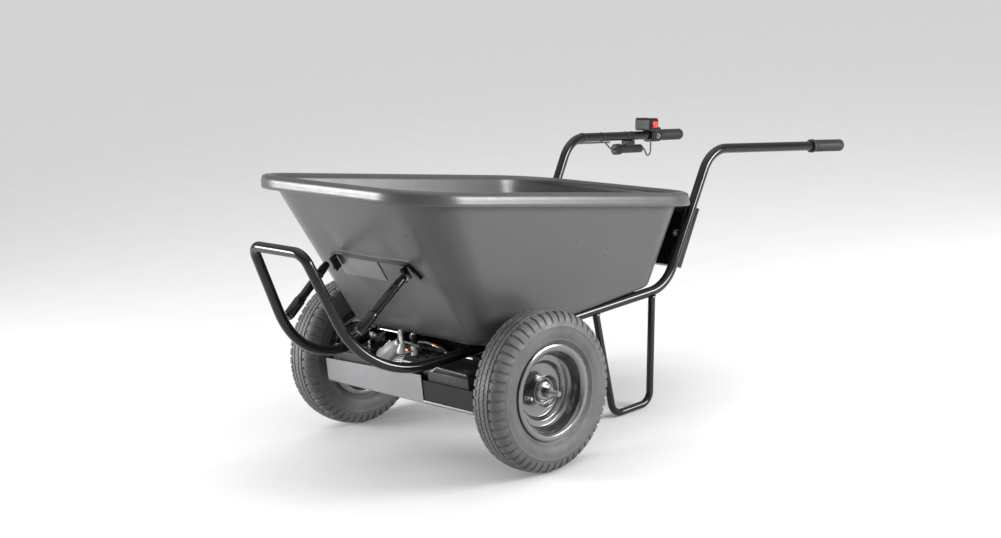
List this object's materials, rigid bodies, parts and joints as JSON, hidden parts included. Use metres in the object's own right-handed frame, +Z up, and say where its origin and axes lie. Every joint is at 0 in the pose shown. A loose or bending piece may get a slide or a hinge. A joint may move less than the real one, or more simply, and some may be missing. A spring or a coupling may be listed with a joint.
{
  "type": "power wheelbarrow",
  "caption": "Battery-powered wheelbarrow: deep grey plastic tub on a bent black tube frame, a transaxle between pneumatic wheels, and a twist throttle on the right handle.",
  "frame": {"origin": "on the ground, under the middle of the bounding box", "axes": "+Z up; -Y towards the nose; +Y towards the handles and the operator; +X to the operator's left"},
  "size_m": [0.845, 1.7949, 0.7541],
  "materials": {
    "grey_moulded_plastic": "lightly textured, satin",
    "black_gloss_paint": "gloss",
    "galvanised_steel": "dull, spangled",
    "zinc_plated_steel": "bright",
    "grey_rim_enamel": "gloss",
    "cast_aluminium": "as cast",
    "hardened_steel": "ground",
    "tyre_rubber": "matt",
    "grip_rubber": "matt",
    "black_plastic": "satin",
    "red_plastic": "gloss",
    "copper_windings": "varnished"
  },
  "bodies": {
    "chassis": {"axle_tube_left": "black_gloss_paint", "axle_tube_right": "black_gloss_paint", "battery_left": "black_plastic", "battery_pan": "black_gloss_paint", "battery_right": "black_plastic", "controller_case": "black_plastic", "front_cross_bar": "black_gloss_paint", "front_frame_tube": "black_gloss_paint", "fuse_holder": "black_plastic", "fuse_lead": "black_plastic", "gearbox_case": "cast_aluminium", "gearbox_cover": "cast_aluminium", "handle_tube_left": "black_gloss_paint", "handle_tube_right": "black_gloss_paint", "idler_shaft": "hardened_steel", "left_grip": "grip_rubber", "lever_post": "zinc_plated_steel", "motor_end_cap": "black_plastic", "motor_housing": "black_gloss_paint", "pan_front_plate": "galvanised_steel", "rear_cross_bar": "black_gloss_paint", "rear_leg_left": "black_gloss_paint", "rear_leg_right": "black_gloss_paint", "rear_panel": "black_gloss_paint", "strut_rod_left": "black_gloss_paint", "strut_rod_right": "black_gloss_paint", "strut_sleeve_left": "black_gloss_paint", "strut_sleeve_right": "black_gloss_paint", "throttle_housing": "black_plastic", "throttle_lead": "black_plastic", "tub": "grey_moulded_plastic", "tub_front_bracket": "black_gloss_paint", "tub_front_plate": "galvanised_steel"},
    "differential": {"differential_carrier": "hardened_steel", "ring_gear": "hardened_steel", "differential_pin": "hardened_steel"},
    "planet_upper": {"planet_gear_upper": "hardened_steel"},
    "planet_lower": {"planet_gear_lower": "hardened_steel"},
    "drive_left": {"half_shaft_left": "hardened_steel", "side_gear_left": "hardened_steel", "hub_left": "cast_aluminium", "hub_nut_left": "zinc_plated_steel", "rim_outer_left": "grey_rim_enamel", "rim_inner_left": "grey_rim_enamel", "tyre_left": "tyre_rubber"},
    "drive_right": {"half_shaft_right": "hardened_steel", "side_gear_right": "hardened_steel", "hub_right": "cast_aluminium", "hub_nut_right": "zinc_plated_steel", "rim_outer_right": "grey_rim_enamel", "rim_inner_right": "grey_rim_enamel", "tyre_right": "tyre_rubber"},
    "idler": {"idler_gear": "hardened_steel"},
    "rotor": {"motor_shaft": "hardened_steel", "motor_armature": "copper_windings", "motor_pinion": "hardened_steel"},
    "lever": {"freewheel_lever": "zinc_plated_steel"},
    "throttle": {"throttle_grip": "grip_rubber"},
    "button": {"red_button": "red_plastic"}
  },
  "joints": [
    {"name": "axle_spin", "type": "hinge", "parent": "chassis", "child": "differential", "pos_m": [-0.016, -0.4188, 0.2], "axis": [1, 0, 0], "continuous": true},
    {"name": "left_wheel_turn", "type": "hinge", "parent": "differential", "child": "drive_left", "pos_m": [-0.016, -0.4188, 0.2], "axis": [1, 0, 0], "continuous": true},
    {"name": "right_wheel_turn", "type": "hinge", "parent": "differential", "child": "drive_right", "pos_m": [-0.016, -0.4188, 0.2], "axis": [1, 0, 0], "continuous": true},
    {"name": "planet_upper_spin", "type": "hinge", "parent": "differential", "child": "planet_upper", "pos_m": [-0.016, -0.4188, 0.2], "axis": [0, 0, 1], "continuous": true},
    {"name": "planet_lower_spin", "type": "hinge", "parent": "differential", "child": "planet_lower", "pos_m": [-0.016, -0.4188, 0.2], "axis": [0, 0, 1], "continuous": true},
    {"name": "idler_spin", "type": "hinge", "parent": "chassis", "child": "idler", "pos_m": [-0.06, -0.46734, 0.22001], "axis": [1, 0, 0], "continuous": true},
    {"name": "motor_spin", "type": "hinge", "parent": "chassis", "child": "rotor", "pos_m": [0.02, -0.50478, 0.23544], "axis": [1, 0, 0], "continuous": true},
    {"name": "lever_swing", "type": "hinge", "parent": "chassis", "child": "lever", "pos_m": [-0.026, -0.5228, 0.3195], "axis": [0, 0, 1], "range_deg": [0, 40]},
    {"name": "throttle_twist", "type": "hinge", "parent": "chassis", "child": "throttle", "pos_m": [-0.30123, 0.83118, 0.56476], "axis": [-0.0762, 0.9837, -0.1627], "range_deg": [0, 60], "stiffness_Nm_per_rad": 0.3},
    {"name": "button_press", "type": "slide", "parent": "chassis", "child": "button", "axis": [-0.997, -0.0772, 0], "range_m": [0, 0.0025], "stiffness_N_per_m": 800}
  ],
  "couplings": [
    {"joint": "right_wheel_turn", "follows": "left_wheel_turn", "ratio": -1},
    {"joint": "planet_upper_spin", "follows": "left_wheel_turn", "ratio": -1.4},
    {"joint": "planet_lower_spin", "follows": "left_wheel_turn", "ratio": 1.4},
    {"joint": "idler_spin", "follows": "axle_spin", "ratio": -4},
    {"joint": "motor_spin", "follows": "axle_spin", "ratio": 20}
  ]
}
